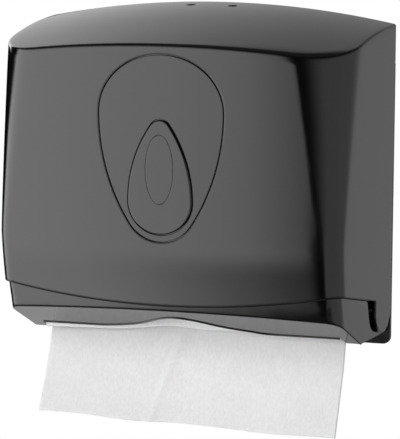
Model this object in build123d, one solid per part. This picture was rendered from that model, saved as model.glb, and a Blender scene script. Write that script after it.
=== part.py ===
"""Wall dispenser for folded paper hand towels, as an assembly of separate pieces.

X runs to the right, -Y towards the user, +Z up, in millimetres. Heights below are counted from
the bottom edge of the back plate and Y from the wall. The finished parts are moved down so that
the origin is the centre of the four wall screw holes, on the plate's rear face.
"""
import os
from math import cos, hypot, radians, sin, sqrt

from build123d import *

# Driving sizes: the folded towels and what stands round them
TOWEL_HALF = 124.0       # half the width of a folded towel
FOLD_DEPTH = 105.0       # depth of a folded towel
SIDE_TOP_Z = 253.0       # top edge of the cover's sides, at the wall
WALL = 2.4               # thickness of the mouldings

# Overall form of the cover
SIDE_ROOM = 21.0         # from the towel's end to the outside of the cover, at its top
SIDE_DRAFT = 5.0         # how much further out the sides stand at the top than at the bottom
DEPTH_ROOM = 24.282      # how much deeper the cover is than the towels, at the towels' ends
TOP_SETBACK = 6.5        # the front's top, behind its belly
LOW_SETBACK = 6.0        # the front at the height LOW_Z, behind its belly
BELLY_Z = 96.0
LOW_Z = 44.0
BULGE_POWER = 1.7        # how the front turns away above and below its belly
TOP_ARCH = 14.0          # rise of the top from its sides to its middle
TOP_FALL = 21.0          # fall of the top from the wall to the front
FRONT_RADIUS = 1000.0    # plan radius of the front
CORNER_TOP = 45.5
CORNER_LOW = 14.0
TOP_EDGE_RADIUS = 1.6

# Gaps
RUN_GAP = 0.05           # a shaft in its hole, on the radius
SEAT_GAP = 0.1           # fixed pieces that lie on each other
SOFT_GAP = 0.3           # paper beside anything
TRAY_GAP = 0.5           # between the cover's inside and the tray
PLATE_GAP = 0.4          # between the plate and the cover's rear edge
PANEL_GAP = 0.8
INLAY_GAP = 0.7
JOIN = 0.01              # how far joined stretches of a turned piece run into each other

# Cover edges, ears and hinge
EDGE_Z = 44.3            # lower edge in the middle of the front
EDGE_RISE = 14.5         # rise of the lower edge from the middle to the corners
EDGE_SLOPE = 0.2         # fall of the lower edge along the sides, towards the wall
WRAP_HEIGHT = 30.0       # of the stretch below SIDE_TOP_Z where the cover reaches back over the plate
PIVOT_Y = -21.0
PIVOT_Z = 30.0
EAR_RADIUS = 17.5
EAR_SKIN = 1.7           # left outside the ear's blind hole
PIN_R = 3.0
PIN_BOSS_R = PIN_R + 3.5
PIN_HEAD_R = PIN_R + 2.0
PIN_HEAD_T = 2.0
PIN_TIP_CHAMFER = 0.5
PIN_END_GAP = 0.3
EAR_BOSS_GAP = 0.8       # between the clip and the ear's boss
CLIP_R = PIN_R + 2.2
CLIP_T = 0.9
CLIP_MOUTH = 1.9         # half the width of the clip's open side
CLIP_NECK_R = PIN_R - 0.55

# Back plate and wall holes
PLATE_T = 3.0
PLATE_CORNER = 6.0
PLATE_INSIDE_GAP = 1.0   # plate to cover, where the cover wraps it
HOLE_SPACING_X = 180.0
HOLE_SPACING_Z = 125.0
HOLE_CENTRE_Z = 137.5
HOLE_R = 2.75

# Tray
TRAY_BOTTOM_Z = 10.5
TRAY_TOP_Z = 66.0
CHIN_Z = 39.5            # lower edge of the chin, at its front face
LIP_SLOPE = 0.469        # rise of the lip per millimetre forward
POCKET_MARGIN = 11.0     # radius of the pocket beyond the ear's, and its centre's height above the pivot
POCKET_DEPTH = 7.1       # from the tray's side to the bottom of the pocket round each ear
SLOT_SETBACK = 27.0      # the slot's front edge, behind the towels' front
SLOT_WIDTH = 20.0
SLOT_SIDE_GAP = 0.5      # from the towel's end to the slot's end
SLOT_FLARE = 1.5         # how much wider the slot is at its rear edge
NOTCH = [(0, 31.5), (20, 23.0), (37, 11.5), (56, 4.0), (78, 0.0)]   # from the middle, and forward
RIB_T = 2.0
RIB_SETBACK = 6.0        # from the slot's edge to the ribs
RIB_END_GAP = 10.0       # from the towel's end to the outermost ribs
REAR_RIBS = [25.0, 70.0]
FRONT_RIB = 88.0

# Towels
STACK_BACK_Y = -9.5
STACK_BOTTOM_Z = 38.3
STACK_TOP_GAP = 6.2      # between the full stack and the latch housing
SHEET_T = 0.8
LEAF_TOP_Z = STACK_BOTTOM_Z - SOFT_GAP - SHEET_T / 2 - 0.2

# Screws
SCREW_R = 1.45
SCREW_HEAD_R = SCREW_R + 1.35
SCREW_HEAD_T = 1.8
SCREW_HEAD_ROUND = 0.7
SCREW_SOCKET_R = 0.84
SCREW_SOCKET_DEPTH = 0.9
SCREW_BITE = 2.4         # how far a screw goes into the back plate
SCREW_GAP = 0.15
TRAY_SCREW_X = [58.0, 100.0]
TRAY_SCREW_Z = 52.0

# Latch and its housing
KEY_X = 17.6
KEY_Y = -22.8
KEY_HOLE_R = 3.8
LATCH_TRAVEL = 5.0
HOUSING_HALF = 40.0
HOUSING_FRONT_Y = -34.0
HOUSING_FLANGE = 9.0
HOUSING_DOWN = 49.0      # from SIDE_TOP_Z to the lower shelf
SHELF_SPACING = 22.0
FLANGE_RISE = 4.0        # of the housing's flange above its upper shelf
SCREW_RISE = 5.0         # of the housing's lower screws above the lower shelf
STEM_R = 4.0
STEM_GAP = 0.15
COLLAR_R = STEM_R + 2.4
COLLAR_T = 3.0
PAD_R = KEY_HOLE_R + 1.7
PAD_HEIGHT = 11.5        # of the key's pads above the bar
BAR_T = 4.5
BAR_CLEAR = 2.6          # left under the bar when it is pressed
BAR_Y = (-28.0, -17.6)
BAR_HALF = 38.0
NOSE_X = (29.0, 37.0)
NOSE_HEIGHT = 7.0        # above the bar
NOSE_LAND = 2.0
NOSE_ROOT = 0.5          # how far the nose is sunk into the bar
RAMP_START = 1.5         # from the bar's front edge to the foot of the nose's ramp
LUG_T = 3.0
LUG_CLEAR = 1.5          # between lug and nose when the latch is pressed
LUG_GAP = 0.4
SPRING_R = STEM_R + 1.25
SPRING_WIRE_R = 0.5
SPRING_TURNS = 5

# Paper guides
GUIDE_T = 2.0
GUIDE_SIDE_GAP = 1.5     # from the towel's end to the guide
GUIDE_BOTTOM_Z = 76.0
GUIDE_DOWN = 8.0         # from the latch housing to the guide's top
GUIDE_REACH = 96.0
GUIDE_FLANGE = 16.0
GUIDE_CORNER = 12.0      # radius of the wing's corners, and from the guide's ends to its screws

# Drop panel, its inlay and its retainer. The two drops are drawn for a panel DRAWN_HEIGHT high and
# stretch with it. Each has its widest half width, the height of its widest place, the height of the
# round end beyond it, and the other end's centre height and radius
PANEL_TOP_Z = SIDE_TOP_Z - 15.0
PANEL_BOTTOM_Z = TRAY_TOP_Z + 28.7
DRAWN_HEIGHT = 143.3
STRETCH = (PANEL_TOP_Z - PANEL_BOTTOM_Z) / DRAWN_HEIGHT
PANEL_DROP = dict(
    half=51.0, wide_z=PANEL_BOTTOM_Z + 99.3 * STRETCH, round_h=44.0 * STRETCH,
    tip_z=PANEL_BOTTOM_Z + 30.0, tip_r=30.0,
)
INLAY_DROP = dict(
    half=26.3, wide_z=PANEL_BOTTOM_Z + 31.1 * STRETCH, round_h=-25.4 * STRETCH,
    tip_z=PANEL_BOTTOM_Z + 84.8 * STRETCH, tip_r=9.0,
)
INLAY_SEAT = 1.4
INLAY_PROUD = 1.2
OVAL_HALF_W = 11.5
OVAL_HALF_H = 26.7 * STRETCH
OVAL_Z = PANEL_BOTTOM_Z + 55.8 * STRETCH
OVAL_DEPTH = 0.4
RETAINER_T = 2.0
RETAINER_IN = 4.0
RETAINER_OUT = 7.5
STUD_R = 1.2
STUD_END = 1.2           # how far a stud goes past the retainer into its boss
BOSS_R = STUD_R + 1.4
BOSS_RIM = 1.0           # of the retainer outside the bosses
BOSS_ANGLES = [18, 62, 118, 162]   # round the drop's upper half, in degrees
BOSS_DOWN = 66.0 * STRETCH         # the lower two bosses, below the drop's widest place
STUD_HEAD_R = BOSS_R + 1.2
STUD_HEAD_T = 1.2
SLOPE_GAP = 0.5          # behind skin and retainer, under a flat head or nut
PEG_R = 2.0
PEG_Z = [PANEL_BOTTOM_Z + 23.3 * STRETCH, PANEL_BOTTOM_Z + 73.3 * STRETCH]
PEG_STICK = 3.0
NUT_R = PEG_R + 2.5
NUT_T = 0.8

# Worked out from the sizes above
HALF_W_TOP = TOWEL_HALF + SIDE_ROOM
HALF_W_BASE = HALF_W_TOP - SIDE_DRAFT
FRONT_SAGITTA = FRONT_RADIUS - sqrt(FRONT_RADIUS**2 - TOWEL_HALF**2)
DEPTH_BELLY = FOLD_DEPTH + DEPTH_ROOM + FRONT_SAGITTA
DEPTH_TOP = DEPTH_BELLY - TOP_SETBACK
DEPTH_LOW = DEPTH_BELLY - LOW_SETBACK
ARCH_RADIUS = (HALF_W_TOP**2 + TOP_ARCH**2) / (2 * TOP_ARCH)
TOP_Z = SIDE_TOP_Z + TOP_ARCH
WRAP_Z = SIDE_TOP_Z - WRAP_HEIGHT
TRAY_INSET = WALL + TRAY_GAP
PLATE_FACE_Y = -PLATE_T
SEAT_Y = PLATE_FACE_Y - SEAT_GAP          # rear face of what is screwed to the plate
FLANGE_Y = SEAT_Y - WALL                  # front face of its flange
SLOT_FRONT_Y = SLOT_SETBACK - FOLD_DEPTH
SLOT_BACK_Y = SLOT_FRONT_Y + SLOT_WIDTH
SLOT_HALF = TOWEL_HALF + SLOT_SIDE_GAP
LOWER_SHELF_Z = SIDE_TOP_Z - HOUSING_DOWN
UPPER_SHELF_Z = LOWER_SHELF_Z + SHELF_SPACING
BAR_BOTTOM_Z = UPPER_SHELF_Z + WALL + LATCH_TRAVEL + BAR_CLEAR
BAR_TOP_Z = BAR_BOTTOM_Z + BAR_T
NOSE_TOP_Z = BAR_TOP_Z + NOSE_HEIGHT
STACK_TOP_Z = LOWER_SHELF_Z - STACK_TOP_GAP
GUIDE_TOP_Z = LOWER_SHELF_Z - GUIDE_DOWN
GUIDE_X = TOWEL_HALF + GUIDE_SIDE_GAP
HANGING_PATH = [
    (SLOT_FRONT_Y + 17.0, LEAF_TOP_Z), (SLOT_FRONT_Y + 16.5, 14.0), (SLOT_FRONT_Y + 12.0, 2.0),
    (SLOT_FRONT_Y - 10.5, -52.5),
]
NEXT_PATH = [
    (SLOT_FRONT_Y - 4.5, LEAF_TOP_Z), (SLOT_FRONT_Y + 4.5, 13.5), (SLOT_FRONT_Y + 7.5, 13.5),
    (SLOT_FRONT_Y + 11.5, LEAF_TOP_Z),
]


def half_width(z):
    return HALF_W_BASE + (HALF_W_TOP - HALF_W_BASE) * z / SIDE_TOP_Z


def depth(z):
    if z > BELLY_Z:
        turn = ((z - BELLY_Z) / (SIDE_TOP_Z - BELLY_Z)) ** BULGE_POWER
        return DEPTH_BELLY - (DEPTH_BELLY - DEPTH_TOP) * turn
    turn = ((BELLY_Z - z) / (BELLY_Z - LOW_Z)) ** BULGE_POWER
    return DEPTH_BELLY - (DEPTH_BELLY - DEPTH_LOW) * turn


def corner_radius(z):
    return CORNER_LOW + (CORNER_TOP - CORNER_LOW) * max(0.0, (z - BELLY_Z) / (SIDE_TOP_Z - BELLY_Z))


def front_y(x, z):
    """Y of the cover's front face, away from its corners."""
    return -depth(z) + FRONT_RADIUS - sqrt(FRONT_RADIUS**2 - x**2)


def top_z(x, y):
    """Height of the cover's top face."""
    return TOP_Z - TOP_FALL * (y / DEPTH_TOP) ** 2 - ARCH_RADIUS + sqrt(ARCH_RADIUS**2 - x**2)


def block(x0, x1, y0, y1, z0, z1):
    return Pos((x0 + x1) / 2, (y0 + y1) / 2, (z0 + z1) / 2) * Box(abs(x1 - x0), abs(y1 - y0), abs(z1 - z0))


def rod_x(x0, x1, y, z, radius):
    return Pos((x0 + x1) / 2, y, z) * Rot(0, 90, 0) * Cylinder(radius, abs(x1 - x0))


def rod_y(x, y0, y1, z, radius):
    return Pos(x, (y0 + y1) / 2, z) * Rot(90, 0, 0) * Cylinder(radius, abs(y1 - y0))


def rod_z(x, y, z0, z1, radius):
    return Pos(x, y, (z0 + z1) / 2) * Cylinder(radius, abs(z1 - z0))


def push_x(face, x0, x1):
    """A prism along X from a face that is drawn in (y, z)."""
    return extrude(Plane((x0, 0, 0), x_dir=(0, 1, 0), z_dir=(1, 0, 0)) * face, x1 - x0, dir=(1, 0, 0))


def along_x(points, x0, x1):
    """A prism along X with its (y, z) outline in points."""
    return push_x(make_face(Polyline(*points, close=True)), x0, x1)


def strip(path, width_half, thickness):
    """A flat sheet along X that follows the (y, z) points of path, with square ends."""
    sides = []
    for i, (y, z) in enumerate(path):
        before = path[max(i - 1, 0)]
        after = path[min(i + 1, len(path) - 1)]
        run = hypot(after[0] - before[0], after[1] - before[1])
        sides.append(((after[1] - before[1]) / run, -(after[0] - before[0]) / run))
    half = thickness / 2
    one = [(y + n * half, z + m * half) for (y, z), (n, m) in zip(path, sides)]
    other = [(y - n * half, z - m * half) for (y, z), (n, m) in zip(path, sides)]
    return along_x(one + other[::-1], -width_half, width_half)


def both(solid):
    """The solid and its mirror image on the other side."""
    return solid, mirror(solid, Plane.YZ)


def plan(z, inset, back_y):
    """The cover's outline at one height, moved inwards by inset and closed at back_y."""
    w, r = half_width(z), corner_radius(z)
    centre_y = FRONT_RADIUS - depth(z)
    cx = w - r
    cy = centre_y - sqrt((FRONT_RADIUS - r) ** 2 - cx**2)
    ux, uy = cx / (FRONT_RADIUS - r), (cy - centre_y) / (FRONT_RADIUS - r)
    front = (ux * (FRONT_RADIUS - inset), centre_y + uy * (FRONT_RADIUS - inset))
    size = hypot(ux + 1, uy)
    middle = (cx + (r - inset) * (ux + 1) / size, cy + (r - inset) * uy / size)
    side = (w - inset, cy)

    def left(point):
        return (-point[0], point[1])

    outline = Curve() + [
        Line((w - inset, back_y), side),
        ThreePointArc(side, middle, front),
        ThreePointArc(front, (0, inset - depth(z)), left(front)),
        ThreePointArc(left(front), left(middle), left(side)),
        Line(left(side), (inset - w, back_y)),
        Line((inset - w, back_y), (w - inset, back_y)),
    ]
    return Pos(0, 0, z) * make_face(outline)


def above_top(inset):
    """Everything above the arched, forward-falling top, which is lowered by inset."""
    reach, ceiling = HALF_W_TOP + 25, TOP_Z + 80
    faces = []
    for y in (30, -30, -65, -100, -DEPTH_BELLY - 15):
        low = top_z(reach, min(y, 0)) - inset
        outline = Curve() + [
            ThreePointArc((-reach, low), (0, top_z(0, min(y, 0)) - inset), (reach, low)),
            Polyline((reach, low), (reach, ceiling), (-reach, ceiling), (-reach, low)),
        ]
        faces.append(Plane((0, y, 0), x_dir=(1, 0, 0), z_dir=(0, -1, 0)) * make_face(outline))
    return loft(faces)


def form(inset, back_y):
    """The solid inside the cover's outer face, moved inwards by inset."""
    rise = (SIDE_TOP_Z - BELLY_Z) / 4
    above = [BELLY_Z + i * rise for i in range(5)]
    heights = (-8, LOW_Z / 2, LOW_Z + 8, *above, TOP_Z + 12)
    return loft([plan(z, inset, back_y) for z in heights]) - above_top(inset)


def rounded_top(solid):
    """The solid with the edge round its top face rounded, apart from the edge at the wall."""
    top = solid.faces().sort_by(Axis.Z)[-1]
    return fillet([edge for edge in top.edges() if (edge @ 0.5).Y < -PLATE_T], TOP_EDGE_RADIUS)


def flank_radius(half, rise, tip_r):
    """Radius of the long arc from a drop's widest place to its tip circle."""
    return (half**2 + rise**2 - tip_r**2) / (2 * (half - tip_r))


def drop_face(drop, grow=0.0):
    """A drop outline in the XZ plane: a half ellipse, two long arcs and a round tip."""
    half, tip_r = drop["half"] + grow, drop["tip_r"] + grow
    wide_z, tip_z = drop["wide_z"], drop["tip_z"]
    up = 1 if drop["round_h"] > 0 else -1
    round_h = abs(drop["round_h"]) + grow
    rise = abs(wide_z - tip_z)
    side_r = flank_radius(half, rise, tip_r)
    reach = side_r - tip_r
    tx, tz = tip_r * (side_r - half) / reach, tip_z - up * tip_r * rise / reach
    # the middle of a long arc, seen from its centre
    mx, mz = tx + side_r - half, tz - wide_z
    size = hypot(mx + side_r, mz)
    middle = (half - side_r + side_r * (mx + side_r) / size, wide_z + side_r * mz / size)
    outline = Curve() + [
        EllipticalCenterArc((0, wide_z), half, round_h, start_angle=0, arc_size=180 * up),
        ThreePointArc((half, wide_z), middle, (tx, tz)),
        ThreePointArc((tx, tz), (0, tip_z - up * tip_r), (-tx, tz)),
        ThreePointArc((-tx, tz), (-middle[0], middle[1]), (-half, wide_z)),
    ]
    return Plane.XZ * make_face(outline)


def forward(face):
    """A prism through the cover's front with the outline of face."""
    return extrude(Pos(0, -100, 0) * face, 60, dir=(0, -1, 0))


def rim_point(angle, out):
    """A point outside the panel's upper half; angle in degrees from its right-hand side."""
    drop, turn = PANEL_DROP, radians(angle)
    return cos(turn) * (drop["half"] + out), drop["wide_z"] + sin(turn) * (drop["round_h"] + out)


def flank_point(side, out):
    """A point outside one of the panel's long flanks, BOSS_DOWN below its widest place."""
    drop = PANEL_DROP
    side_r = flank_radius(drop["half"], drop["wide_z"] - drop["tip_z"], drop["tip_r"])
    x = sqrt((side_r + out) ** 2 - BOSS_DOWN**2) - (side_r - drop["half"])
    return side * x, drop["wide_z"] - BOSS_DOWN


def screw(x, z, seat_y, length):
    """A pan-head screw that goes towards the wall, with its head's underside at seat_y."""
    face_y = seat_y - SCREW_HEAD_T
    head = rod_y(x, face_y, seat_y, z, SCREW_HEAD_R)
    head = fillet(head.edges().sort_by(Axis.Y)[0], SCREW_HEAD_ROUND)
    head -= rod_y(x, face_y - 1, face_y + SCREW_SOCKET_DEPTH, z, SCREW_SOCKET_R)
    return head + rod_y(x, seat_y - JOIN, seat_y + length, z, SCREW_R)


def hole(x, z, y0, y1):
    return rod_y(x, y0, y1, z, SCREW_R + SCREW_GAP)


# Front cover: one moulding with the ears, the catch lugs and the retainer's bosses
def ear_profile():
    disc = Pos(PIVOT_Y, PIVOT_Z) * Circle(EAR_RADIUS)
    neck = Pos(PIVOT_Y, PIVOT_Z + 15) * Rectangle(2 * EAR_RADIUS, 30)
    return disc + neck


def below_edge():
    """Everything below the cover's curved lower edge, apart from the two ears."""
    reach, floor = HALF_W_TOP + 25, -60
    faces = []
    for y in (10, -160):
        lift = EDGE_SLOPE * (-DEPTH_LOW - y)
        side = EDGE_Z + EDGE_RISE * (reach / half_width(LOW_Z)) ** 2 + lift
        outline = Curve() + [
            ThreePointArc((-reach, side), (0, EDGE_Z + lift), (reach, side)),
            Polyline((reach, side), (reach, floor), (-reach, floor), (-reach, side)),
        ]
        faces.append(Plane((0, y, 0), x_dir=(1, 0, 0), z_dir=(0, -1, 0)) * make_face(outline))
    cutter = loft(faces, ruled=True)
    for ear in both(push_x(ear_profile(), 100, 180)):
        cutter -= ear
    return cutter


LUG_FRONT_Y = BAR_Y[1] + LUG_GAP
POCKET_FACE_X = half_width(PIVOT_Z) - TRAY_INSET - POCKET_DEPTH
EAR_OUT_X = half_width(PIVOT_Z)
EAR_BOSS_X = POCKET_FACE_X + 2 * CLIP_T + EAR_BOSS_GAP
BOSS_OUT = RETAINER_OUT - BOSS_R - BOSS_RIM
BOSSES = [rim_point(angle, BOSS_OUT) for angle in BOSS_ANGLES]
BOSSES += [flank_point(side, BOSS_OUT) for side in (-1, 1)]


def front_cover(outside, inside):
    cover = outside - inside
    cover -= below_edge()
    cover -= block(-200, 200, -PLATE_T - PLATE_GAP, 30, -60, WRAP_Z)
    for boss in both(rod_x(EAR_BOSS_X, EAR_OUT_X - 1.0, PIVOT_Y, PIVOT_Z, PIN_BOSS_R)):
        cover += boss
    for bore in both(rod_x(EAR_BOSS_X - 1, EAR_OUT_X - EAR_SKIN, PIVOT_Y, PIVOT_Z, PIN_R + RUN_GAP)):
        cover -= bore
    lug_top = top_z(NOSE_X[0], LUG_FRONT_Y) - WALL / 2
    lug_bottom = NOSE_TOP_Z - LATCH_TRAVEL + LUG_CLEAR
    lug = block(*NOSE_X, LUG_FRONT_Y, LUG_FRONT_Y + LUG_T, lug_bottom, lug_top)
    for side in both(lug):
        cover += side
    for key_hole in both(rod_z(KEY_X, KEY_Y, TOP_Z - TOP_ARCH, TOP_Z + 5, KEY_HOLE_R)):
        cover -= key_hole
    cover -= forward(drop_face(PANEL_DROP, PANEL_GAP))
    for x, z in BOSSES:
        skin_y = front_y(x, z) + WALL
        cover += rod_y(x, skin_y - WALL / 2, skin_y + RETAINER_T + 2 * SEAT_GAP, z, BOSS_R)
        cover -= rod_y(x, skin_y - WALL / 2, skin_y + 10, z, STUD_R + RUN_GAP)
    return cover


def window_panel(outside, inside, seat):
    panel = (outside - inside) & forward(drop_face(PANEL_DROP))
    panel -= (outside - seat) & forward(drop_face(INLAY_DROP, INLAY_GAP))
    for z in PEG_Z:
        panel -= rod_y(0, -160, -100, z, PEG_R + SEAT_GAP)
    return panel


def drop_inlay(proud, oval_floor, seat):
    inlay = (proud - seat) & forward(drop_face(INLAY_DROP))
    oval = Plane.XZ * Pos(0, OVAL_Z) * Ellipse(OVAL_HALF_W, OVAL_HALF_H)
    inlay -= (proud - oval_floor) & forward(oval)
    for z in PEG_Z:
        inlay += rod_y(0, front_y(0, z) + INLAY_SEAT / 2, front_y(0, z) + WALL + PEG_STICK, z, PEG_R)
    return inlay


def window_retainer(inside, behind):
    ring = forward(drop_face(PANEL_DROP, RETAINER_OUT)) - forward(drop_face(PANEL_DROP, -RETAINER_IN))
    ring = (inside - behind) & ring
    for x, z in BOSSES:
        ring -= rod_y(x, -160, -100, z, BOSS_R + SEAT_GAP)
    return ring


def back_plate():
    inset = WALL + PLATE_INSIDE_GAP
    top_side = half_width(SIDE_TOP_Z) - inset
    step = WRAP_Z - PLATE_GAP
    arch = ThreePointArc(
        (top_side, top_z(top_side, 0) - inset), (0, TOP_Z - inset), (-top_side, top_z(top_side, 0) - inset)
    )
    right = Polyline(
        (half_width(0), 0), (half_width(step), step), (half_width(step) - inset, step), arch @ 0
    )
    left = Polyline(
        arch @ 1, (inset - half_width(step), step), (-half_width(step), step), (-half_width(0), 0)
    )
    face = make_face(Curve() + [arch, right, left, Line((-half_width(0), 0), (half_width(0), 0))])
    plate = extrude(Plane.XZ * face, PLATE_T, dir=(0, -1, 0))
    corners = plate.edges().filter_by(Axis.Y).group_by(Axis.Z)[0]
    plate = fillet(corners, PLATE_CORNER)
    for x in (-HOLE_SPACING_X / 2, HOLE_SPACING_X / 2):
        for z in (HOLE_CENTRE_Z - HOLE_SPACING_Z / 2, HOLE_CENTRE_Z + HOLE_SPACING_Z / 2):
            plate -= rod_y(x, -10, 10, z, HOLE_R)
    guide_screws = guide_screw_places(1) + guide_screw_places(-1)
    for x, z in tray_screw_places() + housing_screw_places() + guide_screws:
        plate -= hole(x, z, -10, PLATE_FACE_Y + SCREW_BITE + SCREW_GAP)
    return plate


def tray_screw_places():
    return [(side * x, TRAY_SCREW_Z) for side in (-1, 1) for x in TRAY_SCREW_X]


def lip_z(y, raise_by=0.0):
    chin_y = TRAY_INSET - depth(CHIN_Z)
    return CHIN_Z - LIP_SLOPE * (y - chin_y) + raise_by * sqrt(1 + LIP_SLOPE**2)


def lip_start(bottom, raise_by=0.0):
    chin_y = TRAY_INSET - depth(CHIN_Z)
    return chin_y + (CHIN_Z + raise_by * sqrt(1 + LIP_SLOPE**2) - bottom) / LIP_SLOPE


def tray_side_view(raise_by, back_y, top):
    """The tray in side view, as a prism: flat bottom, then the lip that rises to the chin."""
    bottom, far = TRAY_BOTTOM_Z + raise_by, -DEPTH_BELLY - 20
    points = [
        (back_y, bottom), (lip_start(bottom, raise_by), bottom), (far, lip_z(far, raise_by)),
        (far, top), (back_y, top),
    ]
    return along_x(points, -200, 200)


def pocket(grow):
    """The space round the ears, on both sides; grow moves its walls outwards from that space."""
    radius = EAR_RADIUS + POCKET_MARGIN + grow
    disc = Pos(PIVOT_Y, PIVOT_Z + POCKET_MARGIN) * Circle(radius)
    over = Pos(PIVOT_Y, PIVOT_Z + POCKET_MARGIN + 30) * Rectangle(2 * radius, 60)
    return both(push_x(disc + over, POCKET_FACE_X - grow, HALF_W_TOP + 40))


def slot_cutter():
    right = [(x, SLOT_FRONT_Y - reach) for x, reach in NOTCH]
    notch = Spline(*[(-x, y) for x, y in right[:0:-1]], *right, tangents=((1, 0), (1, 0)))
    rim = Polyline(
        notch @ 1, (SLOT_HALF, SLOT_FRONT_Y), (SLOT_HALF + SLOT_FLARE, SLOT_BACK_Y),
        (-SLOT_HALF - SLOT_FLARE, SLOT_BACK_Y), (-SLOT_HALF, SLOT_FRONT_Y), notch @ 0,
    )
    return extrude(make_face(Curve() + [notch, rim]), STACK_BOTTOM_Z, dir=(0, 0, 1))


def towel_tray(outside, inside):
    outside = outside & tray_side_view(0.0, SEAT_Y, TRAY_TOP_Z)
    hollow = inside & tray_side_view(WALL, FLANGE_Y, TRAY_TOP_Z + 20)
    thick = pocket(WALL)
    for side in pocket(0.0):
        outside -= side
    for side in thick:
        hollow -= side
    tray = outside - hollow - slot_cutter()
    rib_top = STACK_BOTTOM_Z - SOFT_GAP
    end_rib = TOWEL_HALF - RIB_END_GAP
    rear = [(x, SEAT_Y - 1, SLOT_BACK_Y + RIB_SETBACK) for x in (*REAR_RIBS, end_rib)]
    front = [(x, -DEPTH_BELLY, SLOT_FRONT_Y - RIB_SETBACK) for x in (FRONT_RIB, end_rib)]
    for x, y0, y1 in rear + front:
        for rib in both(block(x - RIB_T / 2, x + RIB_T / 2, y0, y1, 0, rib_top)):
            tray += rib & outside
    boss = rod_x(POCKET_FACE_X - WALL - PIN_BOSS_R, POCKET_FACE_X - 1, PIVOT_Y, PIVOT_Z, PIN_BOSS_R)
    for side in both(boss):
        tray += side
    for side in both(rod_x(POCKET_FACE_X - 30, POCKET_FACE_X + 1, PIVOT_Y, PIVOT_Z, PIN_R + RUN_GAP)):
        tray -= side
    for x, z in tray_screw_places():
        tray -= hole(x, z, FLANGE_Y - 1, SEAT_Y + 1)
    return tray


def hinge_pin():
    head_x = POCKET_FACE_X - WALL - PIN_BOSS_R - SEAT_GAP
    clip_x = POCKET_FACE_X + SEAT_GAP
    neck_x = clip_x + CLIP_T + 2 * SEAT_GAP
    tip_x = EAR_OUT_X - EAR_SKIN - PIN_END_GAP
    pin = rod_x(head_x - PIN_HEAD_T, head_x, PIVOT_Y, PIVOT_Z, PIN_HEAD_R)
    pin += rod_x(head_x - JOIN, clip_x, PIVOT_Y, PIVOT_Z, PIN_R)
    pin += rod_x(clip_x - JOIN, neck_x + JOIN, PIVOT_Y, PIVOT_Z, CLIP_NECK_R)
    tip = rod_x(neck_x, tip_x, PIVOT_Y, PIVOT_Z, PIN_R)
    return pin + chamfer(tip.edges().sort_by(Axis.X)[-1], PIN_TIP_CHAMFER)


def pin_clip():
    x = POCKET_FACE_X + 2 * SEAT_GAP
    clip = rod_x(x, x + CLIP_T, PIVOT_Y, PIVOT_Z, CLIP_R)
    clip -= rod_x(x - 1, x + CLIP_T + 1, PIVOT_Y, PIVOT_Z, CLIP_NECK_R + RUN_GAP)
    return clip - block(x - 1, x + CLIP_T + 1, PIVOT_Y - CLIP_MOUTH, PIVOT_Y + CLIP_MOUTH, 0, PIVOT_Z)


# Latch: a sprung bar that the key's two prongs press down, in a housing screwed to the plate
def housing_screw_places():
    x = HOUSING_HALF + WALL + HOUSING_FLANGE / 2
    return [(side * x, z) for side in (-1, 1) for z in (LOWER_SHELF_Z + SCREW_RISE, UPPER_SHELF_Z)]


def latch_housing():
    edge = HOUSING_HALF + WALL
    top = UPPER_SHELF_Z + WALL
    out = edge + HOUSING_FLANGE
    housing = block(-out, out, FLANGE_Y, SEAT_Y, LOWER_SHELF_Z, top + FLANGE_RISE)
    for z in (LOWER_SHELF_Z, UPPER_SHELF_Z):
        housing += block(-edge, edge, HOUSING_FRONT_Y, FLANGE_Y, z, z + WALL)
    for wall in both(block(HOUSING_HALF, edge, HOUSING_FRONT_Y, FLANGE_Y, LOWER_SHELF_Z, top)):
        housing += wall
    guide_r = STEM_R + STEM_GAP
    for x in (-KEY_X, KEY_X):
        housing -= rod_z(x, KEY_Y, LOWER_SHELF_Z - 1, top + 1, guide_r)
        housing -= block(x - guide_r, x + guide_r, HOUSING_FRONT_Y - 1, KEY_Y, UPPER_SHELF_Z - 1, top + 1)
    for x, z in housing_screw_places():
        housing -= hole(x, z, FLANGE_Y - 1, SEAT_Y + 1)
    return housing


def latch_bar():
    bar = block(-BAR_HALF, BAR_HALF, *BAR_Y, BAR_BOTTOM_Z, BAR_TOP_Z)
    collar_top = UPPER_SHELF_Z - LUG_GAP
    for x in (-KEY_X, KEY_X):
        bar += rod_z(x, KEY_Y, BAR_BOTTOM_Z, BAR_TOP_Z + PAD_HEIGHT, PAD_R)
        bar += rod_z(x, KEY_Y, LOWER_SHELF_Z + WALL / 2, BAR_BOTTOM_Z + 1, STEM_R)
        bar += rod_z(x, KEY_Y, collar_top - COLLAR_T, collar_top, COLLAR_R)
    foot = BAR_TOP_Z - NOSE_ROOT
    ramp = [
        (BAR_Y[0] + RAMP_START, foot), (BAR_Y[1], foot), (BAR_Y[1], NOSE_TOP_Z),
        (BAR_Y[1] - NOSE_LAND, NOSE_TOP_Z),
    ]
    for nose in both(along_x(ramp, *NOSE_X)):
        bar += nose
    return bar


def latch_spring():
    low = LOWER_SHELF_Z + WALL + SPRING_WIRE_R + SEAT_GAP
    high = UPPER_SHELF_Z - LUG_GAP - COLLAR_T - SPRING_WIRE_R - SEAT_GAP
    coil = Helix(pitch=(high - low) / SPRING_TURNS, height=high - low, radius=SPRING_R)
    wire = Plane(origin=coil @ 0, z_dir=coil % 0) * Circle(SPRING_WIRE_R)
    return Pos(KEY_X, KEY_Y, low) * sweep(wire, coil, is_frenet=True)


# Paper guides beside the stack
def guide_screw_places(side):
    x = GUIDE_X + GUIDE_T - GUIDE_FLANGE / 2
    middle = (GUIDE_BOTTOM_Z + GUIDE_TOP_Z) / 2
    return [(side * x, z) for z in (GUIDE_BOTTOM_Z + GUIDE_CORNER, middle, GUIDE_TOP_Z - GUIDE_CORNER)]


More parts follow.
